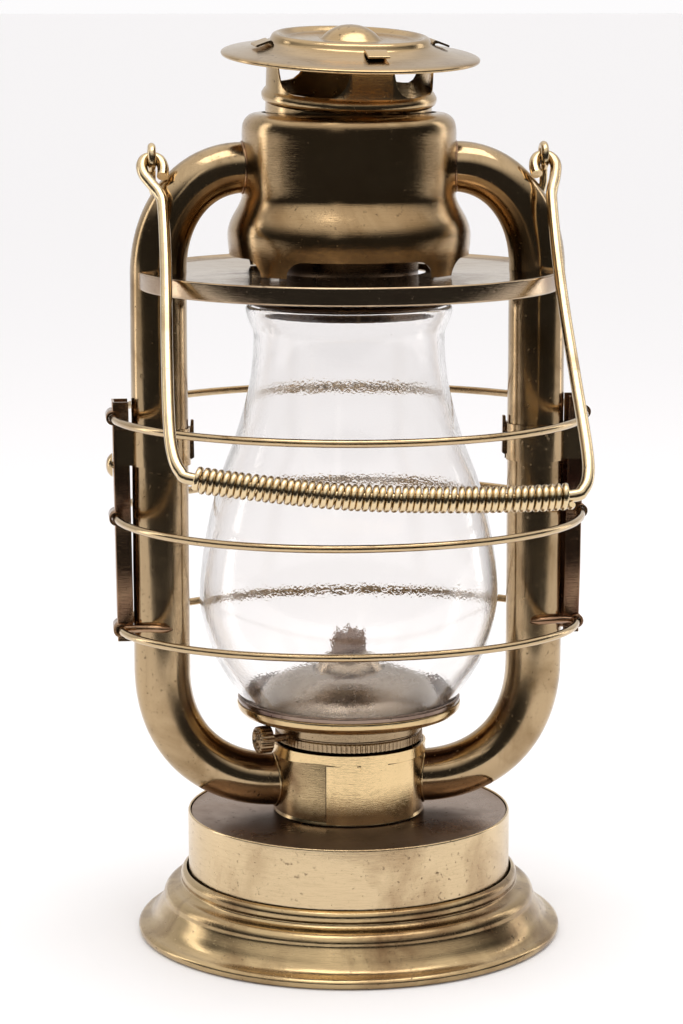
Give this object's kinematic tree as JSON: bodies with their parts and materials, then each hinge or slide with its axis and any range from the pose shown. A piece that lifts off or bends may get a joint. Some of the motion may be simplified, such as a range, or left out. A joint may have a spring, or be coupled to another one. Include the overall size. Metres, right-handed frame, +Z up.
{
  "type": "hurricane lantern",
  "caption": "Brass tubular oil lantern with side air tubes, clear globe in a wire guard, lifting hood, wick knob, screw filler and a wire bail with coil grip.",
  "frame": {"origin": "on the lantern's axis at the level it stands on, at the middle of the tank bottom's flat", "axes": "+Z up along the lantern's axis, -Y towards the front where the bail rests, +X to the right air tube"},
  "size_m": [0.1694, 0.1876, 0.3182],
  "materials": {
    "foot_brass": "aged, satin, worn rim",
    "tank_brass": "aged, satin, horizontal scratches",
    "tank_top_patina": "matte brown patina",
    "collar_brass": "aged, polished patches",
    "tube_brass": "aged, olive and brown tarnish",
    "canopy_brass": "aged, satin",
    "plate_brass": "aged, satin",
    "hood_brass": "aged, satin",
    "chimney_dark": "sooty, dark",
    "guard_wire": "drawn wire, satin",
    "guard_strap": "reddish brown patina",
    "bail_wire": "worn bright wire",
    "burner_brass": "tarnished, knurled",
    "burner_dark": "grey brown, heat darkened",
    "knob_brass": "brown tarnish, ribbed",
    "globe_glass": "clear, slightly wavy",
    "wick_cotton": "frayed, oil-stained",
    "cork": "cork disc"
  },
  "bodies": {
    "lantern": {"base_foot": "foot_brass", "tank_wall": "tank_brass", "tank_top": "tank_top_patina", "tank_bottom": "foot_brass", "filler_neck": "tank_brass", "air_collar": "collar_brass", "collar_band": "collar_brass", "burner_socket": "burner_brass", "wick_tube_plate": "burner_brass", "burner_base": "burner_brass", "globe_gallery": "burner_brass", "burner_deck": "burner_dark", "burner_cone": "burner_dark", "wick_tube": "burner_brass", "tube_left": "tube_brass", "tube_right": "tube_brass", "ear_left": "bail_wire", "ear_right": "bail_wire", "top_plate": "plate_brass", "canopy_drum": "canopy_brass", "globe": "globe_glass", "guard_ring_top": "guard_wire", "guard_ring_middle": "guard_wire", "guard_ring_bottom": "guard_wire", "guard_strap_left": "guard_strap", "guard_strap_right": "guard_strap", "guard_stud": "guard_wire"},
    "bail": {"bail_handle": "bail_wire", "grip_spring": "bail_wire"},
    "hood": {"hood_ring": "hood_brass", "hood_cap": "hood_brass", "inner_chimney": "chimney_dark", "globe_cap": "chimney_dark"},
    "wick_drive": {"knob_shaft": "knob_brass", "wick_wheel_inner": "knob_brass", "wick_wheel_outer": "knob_brass", "wick_knob": "knob_brass"},
    "wick_slide": {"wick": "wick_cotton"},
    "filler_seal_lift": {"filler_seal": "cork"},
    "filler_cap_turn": {"filler_cap": "tank_brass"}
  },
  "joints": [
    {"name": "bail_swing", "type": "hinge", "parent": "lantern", "child": "bail", "pos_m": [0, 0, 0.2733], "axis": [-1, 0, 0], "range_deg": [0, 267]},
    {"name": "hood_lift", "type": "slide", "parent": "lantern", "child": "hood", "axis": [0, 0, 1], "range_m": [0, 0.0072]},
    {"name": "wick_knob_turn", "type": "hinge", "parent": "lantern", "child": "wick_drive", "pos_m": [0.0012, -0.00371, 0.072], "axis": [0.9511, 0.309, 0], "range_deg": [-120, 180]},
    {"name": "wick_raise", "type": "slide", "parent": "lantern", "child": "wick_slide", "axis": [0, 0, 1], "range_m": [-0.00628, 0.00942]},
    {"name": "filler_rise", "type": "slide", "parent": "lantern", "child": "filler_seal_lift", "axis": [0, 0, 1], "range_m": [0, 0.00559]},
    {"name": "filler_turn", "type": "hinge", "parent": "filler_seal_lift", "child": "filler_cap_turn", "pos_m": [0, 0.041, 0.05], "axis": [0, 0, 1], "range_deg": [0, 720]}
  ],
  "couplings": [
    {"joint": "wick_knob_turn", "follows": "wick_raise", "rad_per_m": 333.33},
    {"joint": "filler_turn", "follows": "filler_rise", "rad_per_m": 2243.9}
  ]
}
